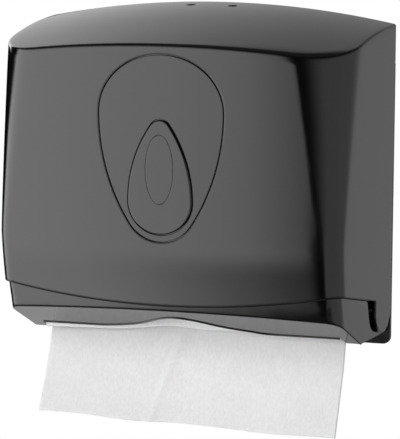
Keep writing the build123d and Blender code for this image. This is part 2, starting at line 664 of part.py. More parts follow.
def paper_guide():
    out = GUIDE_X + GUIDE_T
    guide = block(out - GUIDE_FLANGE, out, FLANGE_Y, SEAT_Y, GUIDE_BOTTOM_Z, GUIDE_TOP_Z)
    wing = block(GUIDE_X, out, SEAT_Y - GUIDE_REACH, FLANGE_Y + WALL / 2, GUIDE_BOTTOM_Z, GUIDE_TOP_Z)
    guide += fillet(wing.edges().filter_by(Axis.X).group_by(Axis.Y)[0], GUIDE_CORNER)
    for x, z in guide_screw_places(1):
        guide -= hole(x, z, FLANGE_Y - 1, SEAT_Y + 1)
    return guide


def screws(places):
    return Compound(children=[screw(x, z, FLANGE_Y, WALL + SEAT_GAP + SCREW_BITE) for x, z in places])


def retainer_screws():
    group = []
    for x, z in BOSSES:
        seat = front_y(x, z) + WALL + RETAINER_T + SLOPE_GAP
        one = rod_y(x, seat, seat + STUD_HEAD_T, z, STUD_HEAD_R)
        group.append(one + rod_y(x, seat - RETAINER_T - STUD_END, seat + JOIN, z, STUD_R))
    return Compound(children=group)


def inlay_nuts():
    group = []
    for z in PEG_Z:
        seat = front_y(0, z) + WALL + SLOPE_GAP
        nut = rod_y(0, seat, seat + NUT_T, z, NUT_R)
        group.append(nut - rod_y(0, seat - 1, seat + NUT_T + 1, z, PEG_R + RUN_GAP))
    return Compound(children=group)


outer_form = rounded_top(form(0.0, -PLATE_GAP))
inner_form = form(WALL, 20.0)

guides = both(paper_guide())
pins = both(hinge_pin())
clips = both(pin_clip())
springs = both(latch_spring())

parts = {
    "front_cover": front_cover(outer_form, inner_form),
    "window_panel": window_panel(outer_form, inner_form, form(INLAY_SEAT, 20.0)),
    "drop_inlay": drop_inlay(
        form(-INLAY_PROUD, 20.0), form(OVAL_DEPTH - INLAY_PROUD, 30.0), form(INLAY_SEAT - SEAT_GAP, 30.0)
    ),
    "inlay_push_nuts": inlay_nuts(),
    "window_retainer": window_retainer(
        form(WALL + SEAT_GAP, 20.0), form(WALL + SEAT_GAP + RETAINER_T, 30.0)
    ),
    "retainer_screws": retainer_screws(),
    "towel_tray": towel_tray(form(TRAY_INSET, SEAT_Y), form(TRAY_INSET + WALL, 20.0)),
    "tray_screws": screws(tray_screw_places()),
    "back_plate": back_plate(),
    "hinge_pin_right": pins[0],
    "hinge_pin_left": pins[1],
    "pin_clip_right": clips[0],
    "pin_clip_left": clips[1],
    "latch_housing": latch_housing(),
    "housing_screws": screws(housing_screw_places()),
    "latch_bar": latch_bar(),
    "latch_spring_right": springs[0],
    "latch_spring_left": springs[1],
    "paper_guide_right": guides[0],
    "paper_guide_left": guides[1],
    "guide_screws_right": screws(guide_screw_places(1)),
    "guide_screws_left": screws(guide_screw_places(-1)),
    "towel_stack": block(
        -TOWEL_HALF, TOWEL_HALF, STACK_BACK_Y - FOLD_DEPTH, STACK_BACK_Y, STACK_BOTTOM_Z, STACK_TOP_Z
    ),
    "next_towel": strip(NEXT_PATH, TOWEL_HALF, SHEET_T),
    "hanging_towel": strip(HANGING_PATH, TOWEL_HALF, SHEET_T),
}

os.makedirs("parts", exist_ok=True)
for name, part in parts.items():
    export_step(Pos(0, 0, -HOLE_CENTRE_Z) * part, f"parts/{name}.step")
    print(name, round(part.volume, 1), len(part.solids()))
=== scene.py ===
"""Wall dispenser for folded paper hand towels: gloss black plastic, with the towels in it."""
import random
from math import atan2, cos, exp, hypot, pi, radians, sin, sqrt

import bmesh
import bpy
from mathutils import Matrix, Vector


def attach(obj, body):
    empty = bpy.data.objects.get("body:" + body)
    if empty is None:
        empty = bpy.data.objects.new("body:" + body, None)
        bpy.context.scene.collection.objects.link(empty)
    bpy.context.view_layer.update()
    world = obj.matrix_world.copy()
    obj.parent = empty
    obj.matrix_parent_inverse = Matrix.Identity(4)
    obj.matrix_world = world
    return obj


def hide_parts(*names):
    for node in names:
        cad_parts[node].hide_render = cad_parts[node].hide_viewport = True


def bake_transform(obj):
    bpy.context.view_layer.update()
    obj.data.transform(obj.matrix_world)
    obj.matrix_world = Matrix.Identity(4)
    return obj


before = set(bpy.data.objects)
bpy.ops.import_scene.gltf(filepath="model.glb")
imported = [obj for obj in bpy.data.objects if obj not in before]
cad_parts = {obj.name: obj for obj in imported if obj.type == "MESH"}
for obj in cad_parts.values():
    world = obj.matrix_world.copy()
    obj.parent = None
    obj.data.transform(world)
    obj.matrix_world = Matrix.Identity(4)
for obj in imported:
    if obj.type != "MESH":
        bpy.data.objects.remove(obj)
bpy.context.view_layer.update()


# --- Back plate -----------------------------------------------------------------------------
# The flat plate that is screwed to the wall and carries everything else: injection-moulded black
# ABS, 3 mm thick, with a satin face because nobody sees it once the cover is shut.

class Wire:
    """A socket that sums can be written with, and that other nodes are added from."""

    def __init__(self, socket):
        self.socket = socket

    def node(self, kind, inputs=None, settings=None, out=0):
        """Adds a node of a kind: its settings first, then the values or wires of its sockets."""
        made = self.socket.id_data.nodes.new(kind)
        for name, value in (settings or {}).items():
            if name == "stops":
                ramp = made.color_ramp.elements
                while len(ramp) < len(value):
                    ramp.new(0.5)
                for stop, (place, shade) in zip(ramp, value):
                    stop.position = place
                    stop.color = (shade, shade, shade, 1.0)
            else:
                setattr(made, name, value)
        for key, value in (inputs or {}).items():
            if isinstance(value, Wire):
                made.id_data.links.new(value.socket, made.inputs[key])
            else:
                made.inputs[key].default_value = value
        return Wire(made.outputs[out])

    def maths(self, operation, first, second=0.0):
        """Adds a Math node."""
        return self.node("ShaderNodeMath", {0: first, 1: second}, {"operation": operation})

    def __add__(self, other):
        return self.maths("ADD", self, other)

    __radd__ = __add__

    def __mul__(self, other):
        return self.maths("MULTIPLY", self, other)

    __rmul__ = __mul__

    def __sub__(self, other):
        return self.maths("SUBTRACT", self, other)

    def __rsub__(self, other):
        return self.maths("SUBTRACT", other, self)

    def __truediv__(self, other):
        return self.maths("DIVIDE", self, other)

    def __rtruediv__(self, other):
        return self.maths("DIVIDE", other, self)

    def __pow__(self, other):
        return self.maths("POWER", self, other)

    def rise(self, low, high):
        """0 below low, 1 above high, and smooth between them."""
        inputs = {"Value": self, "From Min": low, "From Max": high}
        return self.node("ShaderNodeMapRange", inputs, {"interpolation_type": "SMOOTHSTEP"})

    def between(self, low, high):
        """The same value kept between two limits, spread over 0 to 1 in a straight line."""
        return self.node("ShaderNodeMapRange", {"Value": self, "From Min": low, "From Max": high})

    def tint(self, low, high):
        """A colour from low at 0 to high at 1."""
        factor_and_colours = {0: self, 6: low + (1.0,), 7: high + (1.0,)}
        return self.node("ShaderNodeMix", factor_and_colours, {"data_type": "RGBA"}, out=2)

    def noise(self, scale, detail, roughness=0.5):
        """Soft noise over a place, with about as many waves to the metre as its scale."""
        inputs = {"Vector": self, "Scale": scale, "Detail": detail, "Roughness": roughness}
        return self.node("ShaderNodeTexNoise", inputs)

    def bump(self, distance, strength=1.0, **over):
        """The normal that a height presses into the surface, or into the Normal it lies over."""
        inputs = {"Height": self, "Distance": distance, "Strength": strength, **over}
        return self.node("ShaderNodeBump", inputs)


def surface(name, roughness=None, metallic=0.0, ior=1.5):
    """A new material: the material, its shader's inputs as a setter, and its coordinates."""
    material = bpy.data.materials.new(name)
    material.use_nodes = True
    tree = material.node_tree
    shader = tree.nodes["Principled BSDF"]
    shader.inputs["Metallic"].default_value = metallic
    shader.inputs["IOR"].default_value = ior
    if roughness is not None:
        shader.inputs["Roughness"].default_value = roughness
    place = Wire(tree.nodes.new("ShaderNodeTexCoord").outputs["Object"])

    def feed(socket, wire):
        tree.links.new(wire.socket, shader.inputs[socket])

    return material, feed, place


def plastic(name, shade, gloss, unevenness, grain, sink=0.00004, soften=0.0006, ior=1.5):
    """Moulded plastic: two near shades, an uneven gloss, a fine grain, and slight sink marks."""
    material, feed, place = surface(name, ior=ior)
    flow = place.noise(scale=9.0, detail=3.0)
    fine = place.noise(scale=900.0, detail=2.0)
    smear = place.noise(scale=38.0, detail=5.0, roughness=0.6)
    darker, paler = (shade * 0.9,) * 3, (shade * 1.08, shade * 1.09, shade * 1.12)
    feed("Base Color", flow.rise(0.35, 0.65).tint(darker, paler))
    feed("Roughness", gloss + (smear.rise(0.42, 0.7) * unevenness + fine * (unevenness * 0.4)))
    rounded = place.node("ShaderNodeBevel", {"Radius": soften}, {"samples": 4})
    feed("Normal", fine.bump(grain, Normal=flow.bump(sink, Normal=rounded)))
    return material


def finish(piece, material):
    """Gives a piece its material, in place of any that it has."""
    piece.data.materials.clear()
    piece.data.materials.append(material)


def finish_node(name, material):
    """Gives a node that keeps its own mesh its material."""
    finish(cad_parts[name], material)


PLATE_SHADE = 0.013
finish_node("back_plate", plastic(
    "plate_satin_black", PLATE_SHADE, gloss=0.24, unevenness=0.06, grain=0.000012))


# --- Towel tray -----------------------------------------------------------------------------
# The tray closes the bottom: floor with its ribs, dispensing slot, chin and finger notch in one
# moulding of polished black ABS, screwed to the plate with four self-tapping screws. Its lip has
# rounded edges and a fine bead round its front, dark and matt as painted shade of the gap there;
# a bead on the slot's edge spares the paper.

TRAY_SHADE = 0.003
MERGE = 0.000001               # points that are nearer are one point
FLAT_WITHIN = 0.003            # faces that turn by less, in radians, are one face
SHARP = 32.0                   # edges that turn by more, in degrees, stay sharp
LIP_NORMAL = Vector((0.0, -0.4246, -0.9054))
LIP_LIKE, REARWARD = 0.999, 0.3          # a normal's least part along the lip's, and along +Y
LIP_ROUND = 0.00095
SLOT_BEAD, LIP_BEAD = 0.00085, 0.0004
SLOT_FRONT = -0.077            # the slot's front edge lies in front of this
LIP_BEAD_FROM, SLOT_END, CHIN_BACK = -0.1365, 0.130, -0.114          # where the lip has its bead
LIP_MIDDLE = -0.06             # the lip's bead runs round this, from left to right


def put_in_scene(name, data):
    """A new object of a mesh, a curve, a lamp or a camera."""
    piece = bpy.data.objects.new(name, data)
    bpy.context.scene.collection.objects.link(piece)
    return piece


def mesh_piece(name, bm):
    """An object of a bmesh, which is used up."""
    mesh = bpy.data.meshes.new(name)
    bm.to_mesh(mesh)
    bm.free()
    return put_in_scene(name, mesh)


def solid(name, bm):
    """An object of a closed bmesh, its faces turned outwards."""
    bmesh.ops.recalc_face_normals(bm, faces=bm.faces)
    return mesh_piece(name, bm)


def smooth_shading(mesh, sharp):
    """Smooth shading that keeps edges over an angle sharp."""
    for face in mesh.polygons:
        face.use_smooth = True
    mesh.set_sharp_from_angle(angle=radians(sharp))


def rounded_normals(piece, sharp):
    """Smooth shading that keeps edges over an angle sharp and large flat faces flat."""
    smooth_shading(piece.data, sharp)
    piece.modifiers.new("weighted", "WEIGHTED_NORMAL").keep_sharp = True


def tray_form():
    """The tray's merged mesh, its lip's edges rounded, and the points of the slot and lip rims."""
    bm = bmesh.new()
    bm.from_mesh(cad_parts["towel_tray"].data)
    bmesh.ops.remove_doubles(bm, verts=bm.verts, dist=MERGE)
    bmesh.ops.dissolve_limit(
        bm, angle_limit=FLAT_WITHIN, verts=bm.verts, edges=bm.edges,
        use_dissolve_boundaries=False)
    lip = max((f for f in bm.faces if f.normal.dot(LIP_NORMAL) > LIP_LIKE),
              key=lambda f: f.calc_area())
    slot = [e for e in lip.edges
            if all(f is lip or f.normal.y > REARWARD for f in e.link_faces)]
    slot_rim = sorted({tuple(v.co) for e in slot for v in e.verts if v.co.y < SLOT_FRONT})
    outer = {tuple(v.co) for v in lip.verts
             if v.co.x > LIP_BEAD_FROM and (v.co.x > SLOT_END or v.co.y < CHIN_BACK)}
    lip_rim = sorted(outer, key=lambda p: atan2(p[0], LIP_MIDDLE - p[1]))
    bmesh.ops.bevel(bm, geom=lip.edges[:], offset=LIP_ROUND, segments=5, profile=0.5,
                    affect="EDGES", material=-1, clamp_overlap=False)
    return bm, slot_rim, lip_rim


def bead_along(name, points, radius):
    """A thin round bead through points, with closed ends."""
    curve = bpy.data.curves.new(name, "CURVE")
    curve.dimensions = "3D"
    curve.bevel_depth, curve.bevel_resolution, curve.use_fill_caps = radius, 3, True
    line = curve.splines.new("POLY")
    line.points.add(len(points) - 1)
    for point, place in zip(line.points, points):
        point.co = (*place, 1.0)
    drawn = put_in_scene(name, curve)
    mesh = bpy.data.meshes.new_from_object(
        drawn.evaluated_get(bpy.context.evaluated_depsgraph_get()))
    bpy.data.objects.remove(drawn)
    bead = put_in_scene(name, mesh)
    rounded_normals(bead, sharp=60.0)
    return bead


form, slot_rim, lip_rim = tray_form()
tray = solid("towel_tray_shell", form)
rounded_normals(tray, SHARP)
slot_bead = bead_along("slot_edge_bead", slot_rim, SLOT_BEAD)
lip_bead = bead_along("lip_edge_bead", lip_rim, LIP_BEAD)
tray_plastic = plastic(
    "tray_gloss_black", TRAY_SHADE, gloss=0.055, unevenness=0.03, grain=0.0000008, soften=0.0012)
# a dark, matt, weakly reflecting finish (low IOR) for the beads along the lip's front and the
# cover's lower edge: painted shade of the gaps there
gap_shade_bead_plastic = plastic(
    "painted_gap_shade_black", TRAY_SHADE, gloss=0.45, unevenness=0.05, grain=0.000004, ior=1.28)
for piece, material in ((tray, tray_plastic), (slot_bead, tray_plastic), (lip_bead, gap_shade_bead_plastic)):
    finish(piece, material)
    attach(piece, "wall_unit")
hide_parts("towel_tray")


# --- Screws, hinge pins and clips -----------------------------------------------------------
# Turned and rolled steel: pan-head self-tapping screws with a socket, two headed hinge pins in
# the tray's sides, and the sprung clips that hold the pins. Bright zinc, with fine turning rings.

def steel(name, tone, gloss, ring_scale):
    """Zinc-plated steel: a cool grey with cloudy plating, fine tool marks and dull patches."""
    material, feed, place = surface(name, metallic=1.0)
    cloud = place.noise(scale=160.0, detail=4.0)
    marks = place.noise(scale=ring_scale, detail=1.0)
    dark = tuple(c * 0.78 for c in tone)
    feed("Base Color", cloud.rise(0.3, 0.7).tint(dark, tone))
    feed("Roughness", gloss + (cloud * 0.16 + marks * 0.06))
    feed("Normal", marks.bump(0.000008, strength=0.6))
    return material


SCREW_ZINC, PIN_ZINC = (0.60, 0.61, 0.63), (0.56, 0.56, 0.57)
screw_steel = steel("screw_zinc", SCREW_ZINC, gloss=0.22, ring_scale=2200.0)
pin_steel = steel("pin_zinc", PIN_ZINC, gloss=0.18, ring_scale=1800.0)
for held in ("tray", "housing", "retainer"):
    finish_node(held + "_screws", screw_steel)
for side in ("right", "left"):
    finish_node("guide_screws_" + side, screw_steel)
    finish_node("hinge_pin_" + side, pin_steel)
    finish_node("pin_clip_" + side, pin_steel)


# --- Latch ----------------------------------------------------------------------------------
# A housing under the roof, screwed to the plate, guides the latch bar; two compression springs
# of patented wire lift it, and a two-pronged key through the roof pushes it down.

SATIN_SHADE = 0.014
ACETAL_SHADE = 0.03
SPRING_WIRE = (0.5, 0.5, 0.5)
WIRE_THICK = 0.0012
finish_node("latch_housing", plastic(
    "housing_satin_black", SATIN_SHADE, gloss=0.2, unevenness=0.06, grain=0.00001))
finish_node("latch_bar", plastic(
    "latch_acetal", ACETAL_SHADE, gloss=0.3, unevenness=0.05, grain=0.000006))
spring_steel = steel("spring_wire", SPRING_WIRE, gloss=0.25, ring_scale=1500.0)
for side in ("right", "left"):
    coil = bmesh.new()
    coil.from_mesh(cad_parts["latch_spring_" + side].data)
    bmesh.ops.remove_doubles(coil, verts=coil.verts, dist=MERGE)
    foot, top = (pick(v.co.z for v in coil.verts) for pick in (min, max))
    spring = solid("latch_spring_coil_" + side, coil)
    rounded_normals(spring, SHARP)
    finish(spring, spring_steel)
    foot + WIRE_THICK
    top - WIRE_THICK
    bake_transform(spring)
    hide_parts("latch_spring_" + side)


# --- Paper guides ---------------------------------------------------------------------------
# Two angle mouldings beside the stack keep the towels from sliding sideways; satin black, with
# three screws each.

guide_plastic = plastic(
    "guide_satin_black", SATIN_SHADE, gloss=0.22, unevenness=0.06, grain=0.00001)
for side in ("right", "left"):
    finish_node("paper_guide_" + side, guide_plastic)


# --- Towels ---------------------------------------------------------------------------------
# Crepe tissue, white, 248 mm wide and folded once at 105 mm: a stack in the tray, the fold of
# the next towel in the slot, and the leaf that hangs out to be pulled.

TOWEL_HALF = 0.124
FOLD = 0.105
TISSUE_SHADE, PAINTED_LIGHT_FOLD_SHADE = 0.80, 0.94          # one layer, and the same paper painted paler on the next towel's fold, as painted light
LEAF_THICK = 0.0004
OFF_CENTRE = 0.0004            # the towels have slipped to the right, as far as the slot lets them,
DRIFT, DRIFT_OVER = 0.0008, 0.2          # and the leaf a little further, over this share below it
SLOT_SHARE = 0.29              # the share of the leaf's length that is still in the slot
LONGER_RIGHT = 0.0085          # the leaf hangs a little askew: lower on its right,
FORWARD_LEFT = 0.0060          # and nearer the hand on its left
LEAN, DROP = 0.38, 0.92        # the way its lower part runs: forwards and down
CREASE_FROM, CREASE_TO = (-0.006, 0.1), (-0.029, 1.0)          # (x, share of the length)
CREASE_HALF, CREASE_HIGH = 0.0055, 0.0009
WIDE_RIPPLE, FINE_RIPPLE, END_RIPPLE = (0.0007, 46), (0.0005, 95), (0.0006, 60)
HIGHER_RIGHT = 0.0075          # the next towel's fold is pulled down less on its right,
ARCH, ARCH_X, ARCH_HALF = 0.0030, -0.0185, 0.0227          # and arches under the finger notch


def crepe(name, shade):
    """White crepe tissue: short creases along the pull, small cushions pressed in, and fluff."""
    material, feed, place = surface(name, roughness=0.95, ior=1.35)
    stretched = place.node("ShaderNodeMapping", {"Vector": place, "Scale": (1.0, 0.42, 0.42)})
    creases = stretched.noise(scale=640.0, detail=3.0, roughness=0.6)
    pressed = place.node("ShaderNodeTexVoronoi", {
        "Vector": place, "Scale": 420.0, "Randomness": 0.8})
    cloud = place.noise(scale=60.0, detail=3.0)
    height = creases * 0.8 + pressed * 0.35
    tone = creases * 0.75 + cloud * 0.25
    darker, paler = (tuple(shade * part for part in parts) for parts in (
        (0.96, 0.96, 0.97), (1.04, 1.04, 1.05)))
    feed("Base Color", tone.rise(0.34, 0.66).tint(darker, paler))
    feed("Normal", height.bump(0.0004, strength=0.6))
    return material


def solid_sheet(name, bm, thickness):
    """The object of a bmesh, with a Solidify modifier that gives the paper its thickness."""
    piece = mesh_piece(name, bm)
    thicken = piece.modifiers.new("thickness", "SOLIDIFY")
    thicken.thickness = thickness
    thicken.offset = 0.0
    return piece


def leaf(name, across, along, place, thickness):
    """A sheet of paper: a grid whose (u across, v along) points are put where place says."""
    bm = bmesh.new()
    bmesh.ops.create_grid(bm, x_segments=across, y_segments=along, size=0.5)
    for vertex in bm.verts:
        vertex.co = place(vertex.co.x + 0.5, vertex.co.y + 0.5)
    bmesh.ops.recalc_face_normals(bm, faces=bm.faces)
    for face in bm.faces:
        face.smooth = True
    return solid_sheet(name, bm, thickness)


def along_path(points, share):
    """The point at a share of the length of a (y, z) polyline."""
    runs = [hypot(b[0] - a[0], b[1] - a[1]) for a, b in zip(points, points[1:])]
    left = share * sum(runs)
    for (a, b), run in zip(zip(points, points[1:]), runs):
        if left <= run:
            return a[0] + (b[0] - a[0]) * left / run, a[1] + (b[1] - a[1]) * left / run
        left -= run
    return points[-1]


def rounded_path(points, rounds=3):
    """A (y, z) polyline with its corners cut again and again, as bent paper has them."""
    for i in range(rounds):
        cut = [points[0]]
        for a, b in zip(points, points[1:]):
            cut += [(a[0] * 0.75 + b[0] * 0.25, a[1] * 0.75 + b[1] * 0.25),
                    (a[0] * 0.25 + b[0] * 0.75, a[1] * 0.25 + b[1] * 0.75)]
        points = cut + [points[-1]]
    return points


HANGING = rounded_path([
    (-0.0610, -0.1002), (-0.0616, -0.1235), (-0.0662, -0.1355), (-0.0886, -0.1898)])
NEXT = rounded_path([
    (-0.0800, -0.1004), (-0.0752, -0.1258), (-0.0722, -0.1258), (-0.0667, -0.1004)])


def limited(value):
    """The value kept between 0 and 1."""
    return min(1.0, max(0.0, value))


def wave(ripple, x, shift):
    """The height of a ripple, given as its height and its turn per metre, at a place."""
    high, turn = ripple
    return high * sin(x * turn + shift)


def hanging_place(u, v):
    """The leaf follows its path down, pulled askew, with one crease and a slightly wavy end."""
    y, z = along_path(HANGING, v)
    x = (2 * u - 1) * TOWEL_HALF + OFF_CENTRE + DRIFT * limited((v - SLOT_SHARE) / DRIFT_OVER)
    loose = v * v
    y -= LONGER_RIGHT * LEAN * u * loose + FORWARD_LEFT * (1 - u) * loose
    z -= LONGER_RIGHT * DROP * u * loose
    share = (v - CREASE_FROM[1]) / (CREASE_TO[1] - CREASE_FROM[1])
    crease_x = CREASE_FROM[0] + (CREASE_TO[0] - CREASE_FROM[0]) * share
    y -= CREASE_HIGH * max(0.0, 1 - abs(x - crease_x) / CREASE_HALF) * limited(4 * share)
    ripple = wave(WIDE_RIPPLE, x, 0.8) + wave(FINE_RIPPLE, x, v * 3.0)
    return Vector((x, y + ripple * loose, z + wave(END_RIPPLE, x, 1.0) * loose))


def next_place(u, v):
    """The next towel hangs by its fold in the slot, not quite level."""
    y, z = along_path(NEXT, v)
    x = (2 * u - 1) * TOWEL_HALF + OFF_CENTRE
    up = HIGHER_RIGHT * u + ARCH * exp(-((x - ARCH_X) / ARCH_HALF) ** 2)
    return Vector((x, y, z + up * sin(pi * v)))


tissue = crepe("crepe_tissue", TISSUE_SHADE)
hanging = leaf("hanging_towel_leaf", 160, 60, hanging_place, LEAF_THICK)
finish(hanging, tissue)
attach(hanging, "wall_unit")
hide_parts("hanging_towel")

# the next towel's fold is the same tissue with a paler colour: painted light, for the brighter
# light it catches near the slot's front
following = leaf("next_towel_fold", 80, 40, next_place, LEAF_THICK)
finish(following, crepe("crepe_tissue_painted_lighter", PAINTED_LIGHT_FOLD_SHADE))
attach(following, "wall_unit")
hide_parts("next_towel")

STACK_LOW, STACK_HIGH = -0.0990, 0.0600
STACK_BACK = -0.0098
STACK_SPARE, STACK_NARROWER = 0.0006, 0.0009          # room kept at the ends and at the sides
TOWELS = 66
PAPER = 0.00055
BEND = 0.0008                  # how far from the fold the paper starts to turn
INSET_MOST, SLIP_MOST = 0.0012, 0.0006          # how unevenly the towels are folded and laid
UPPER_SHORTER = 0.0004         # a towel's upper layer ends a little short of its lower one
STACK_RIPPLE = (0.00006, 70)


def stack_of_towels():
    """One bmesh of folded towels, each bent round its fold, front and back by turns."""
    rng = random.Random(7)
    pitch = (STACK_HIGH - STACK_LOW) / TOWELS
    gap = pitch / 2 - PAPER * 0.2
    bm = bmesh.new()
    for i in range(TOWELS):
        low = STACK_LOW + i * pitch + PAPER * 0.6
        high = low + gap * 0.85
        inset, slip = rng.uniform(0.0, INSET_MOST), rng.uniform(-SLIP_MOST, SLIP_MOST)
        front = i % 2 == 0
        near, far = STACK_BACK - FOLD + inset + STACK_SPARE, STACK_BACK - inset - STACK_SPARE
        fold, ends = (near, far) if front else (far, near)
        turn = 1 if front else -1
        path = [(ends, low), (fold + turn * BEND, low), (fold, low + gap * 0.25),
                (fold, low + gap * 0.6), (fold + turn * BEND, high),
                (ends - turn * UPPER_SHORTER, high)]
        made = bmesh.ops.create_grid(bm, x_segments=8, y_segments=14, size=0.5)["verts"]
        ripple = rng.uniform(0, 6)
        for vertex in made:
            u, v = vertex.co.x + 0.5, vertex.co.y + 0.5
            from_fold = 2 * v - 1
            y, z = along_path(path, 0.5 + 0.5 * from_fold * abs(from_fold) ** 0.25)
            x = (2 * u - 1) * (TOWEL_HALF - STACK_NARROWER) + slip * 0.5
            vertex.co = (x, y, z + wave(STACK_RIPPLE, x, ripple))
    for face in bm.faces:
        face.smooth = True
    return bm


stack = solid_sheet("towel_stack_folded", stack_of_towels(), PAPER)
finish(stack, tissue)
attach(stack, "wall_unit")
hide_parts("towel_stack")


# --- Cover ----------------------------------------------------------------------------------
# The front cover: one polished black moulding, 2.4 mm thick, with a bowed front, round corners,
# an arched roof with two key holes, and a fine bead along its lower edge in a dark matt finish,
# painted shade of the gap between cover and tray. It swings down on the hinge pins in its two ears.

COVER_SHADE = 0.003
SIDE_TOP, BELLY, LOW = 0.1155, -0.0415, -0.0935      # heights of the roof's sides, belly, low edge
PLATE_FOOT, BODY_HIGH = -0.1375, 0.253
FOOT_HALF, WIDENING = 0.140, 0.005          # half the width at the foot, and what it gains upwards
DEEPEST, TOP_FLATTER, LOW_FLATTER, BOW = 0.137, 0.0065, 0.006, 1.7
CORNER, CORNER_GROWTH = 0.014, 0.0315
WALL = 0.0024
FRONT_RADIUS = 1.0
ROOF_RADIUS = 0.75795
ROOF_TOP, ROOF_FALL, ROOF_DEEP = 0.1295, 0.021, 0.1305
ROOF_FROM = 0.1                # nothing but the roof and its rim lies above this
ROOF_EDGE = 0.0016
ROOF_SPINE = -0.075            # the roof's two halves meet on a line from the back to here
COVER_BACK = -0.0004
PIVOT = (-0.021, -0.1075)
SIDE_STEPS, CORNER_STEPS, FRONT_STEPS, WALL_STEPS, ROOF_STEPS = 12, 20, 28, 34, 16
STEPS = SIDE_STEPS + CORNER_STEPS + FRONT_STEPS
RIM_ROUNDS, EDGE_ROUNDS = 12, 8          # rounds in which a rim's height and plan come to agree


def half_width(z):
    """Half the cover's width at a height."""
    return FOOT_HALF + WIDENING * (z - PLATE_FOOT) / BODY_HIGH


def depth(z):
    """How far the middle of the front stands out from the wall at a height."""
    if z > BELLY:
        return DEEPEST - TOP_FLATTER * ((z - BELLY) / (SIDE_TOP - BELLY)) ** BOW
    return DEEPEST - LOW_FLATTER * ((BELLY - z) / (BELLY - LOW)) ** BOW


def corner_radius(z):
    """The radius of the two upright corners at a height."""
    return CORNER + CORNER_GROWTH * max(0.0, (z - BELLY) / (SIDE_TOP - BELLY))


def front_y(x, z):
    """The y of the front's outer face."""
    return FRONT_RADIUS - depth(z) - sqrt(FRONT_RADIUS**2 - x * x)


def roof_z(x, y):
    """The height of the roof's outer face."""
    return ROOF_TOP - ROOF_FALL * (y / ROOF_DEEP) ** 2 - ROOF_RADIUS + sqrt(ROOF_RADIUS**2 - x * x)


def outline(step, z, inset, back):
    """The right half of the plan at a height: from the back (step 0) to the front's middle."""
    w, r = half_width(z), corner_radius(z)
    centre = FRONT_RADIUS - depth(z)
    cx = w - r
    cy = centre - sqrt((FRONT_RADIUS - r) ** 2 - cx * cx)
    if step <= SIDE_STEPS:
        return w - inset, back + (cy - back) * step / SIDE_STEPS
    turn = atan2(centre - cy, cx)
    if step <= SIDE_STEPS + CORNER_STEPS:
        angle = turn * (step - SIDE_STEPS) / CORNER_STEPS
        return cx + (r - inset) * cos(angle), cy - (r - inset) * sin(angle)
    angle = turn + (pi / 2 - turn) * (step - SIDE_STEPS - CORNER_STEPS) / FRONT_STEPS
    return (FRONT_RADIUS - inset) * cos(angle), centre - (FRONT_RADIUS - inset) * sin(angle)


def cover_form(inset, back, bottom, edge=0.0):
    """A closed solid inside the cover's outer face, moved inwards, with a rounded roof edge."""
    bm = bmesh.new()
    span = 2 * (WALL_STEPS + ROOF_STEPS)
    bmesh.ops.create_grid(bm, x_segments=span, y_segments=STEPS, size=0.5)
    rims = []
    for step in range(STEPS + 1):
        rim = SIDE_TOP
        for i in range(RIM_ROUNDS):
            x, y = outline(step, rim, inset, back)
            rim = roof_z(x, y) - inset
        rims.append(rim)
    for vertex in bm.verts:
        i, step = round((vertex.co.x + 0.5) * span), round((vertex.co.y + 0.5) * STEPS)
        side = 1 if i <= span // 2 else -1
        i = min(i, span - i)
        x, y = outline(step, rims[step], inset, back)
        if i <= WALL_STEPS:
            z = bottom + (rims[step] - bottom) * i / WALL_STEPS
            x, y = outline(step, z, inset, back)
        else:
            share = (i - WALL_STEPS) / ROOF_STEPS
            spine = back + (ROOF_SPINE - back) * step / STEPS
            x, y = x * (1 - share), y + (spine - y) * share
            z = roof_z(x, y) - inset
        vertex.co = (side * x, y, z)
    bmesh.ops.remove_doubles(bm, verts=bm.verts, dist=MERGE)
    corners = sorted((v for v in bm.verts if v.is_boundary),
                     key=lambda v: (round(v.co.z, 5), -v.co.y))[:2]
    joint = bm.edges.new(corners)
    rim = [e for e in bm.edges if e.is_boundary]
    low = [e for e in rim if all(abs(v.co.z - bottom) < MERGE for v in e.verts)]
    rear = [e for e in rim if all(abs(v.co.y - back) < MERGE for v in e.verts)]
    bmesh.ops.contextual_create(bm, geom=low + [joint])
    bmesh.ops.contextual_create(bm, geom=rear + [joint])
    if edge:
        roof_edges = [
            e for e in bm.edges
            if e.calc_face_angle(0.0) > 0.5 and min(v.co.z for v in e.verts) > ROOF_FROM
            and not any(abs(f.normal.y) > 0.999 and len(f.verts) > 8 for f in e.link_faces)]
        bmesh.ops.bevel(bm, geom=roof_edges, offset=edge, segments=5, profile=0.5,
                        affect="EDGES", material=-1)
    bmesh.ops.recalc_face_normals(bm, faces=bm.faces)
    return bm


def shape(name, first, *cuts, sharp=SHARP):
    """A piece from a first solid, with other solids taken away or added, in turn."""
    for operation, tool in cuts:
        cut = first.modifiers.new("cut", "BOOLEAN")
        cut.operation, cut.solver, cut.object = operation, "EXACT", tool
    made = first.evaluated_get(bpy.context.evaluated_depsgraph_get())
    mesh = bpy.data.meshes.new_from_object(made)
    mesh.name = name
    for used in [first] + [tool for operation, tool in cuts]:
        bpy.data.objects.remove(used)
    piece = put_in_scene(name, mesh)
    smooth_shading(mesh, sharp)
    return piece


def block(bm, x0, x1, y0, y1, z0, z1):
    """Adds a box to a bmesh."""
    made = bmesh.ops.create_cube(bm, size=1.0)["verts"]
    bmesh.ops.scale(bm, verts=made, vec=(x1 - x0, y1 - y0, z1 - z0))
    bmesh.ops.translate(bm, verts=made, vec=((x0 + x1) / 2, (y0 + y1) / 2, (z0 + z1) / 2))


def rod(bm, start, end, radius, segments=40):
    """Adds a cylinder between two points that differ along one axis."""
    a, b = Vector(start), Vector(end)
    turned = (b - a).to_track_quat("Z", "X").to_matrix().to_4x4()
    bmesh.ops.create_cone(
        bm, cap_ends=True, segments=segments, radius1=radius, radius2=radius,
        depth=(b - a).length, matrix=Matrix.Translation((a + b) / 2) @ turned)


# shares of a drop's outline: its round end, each long arc, its tip, and where arc and tip end
ROUND_SHARE, ARC_SHARE, TIP_SHARE = 0.42, 0.2, 0.18
ARC_END, TIP_END = 0.62, 0.8


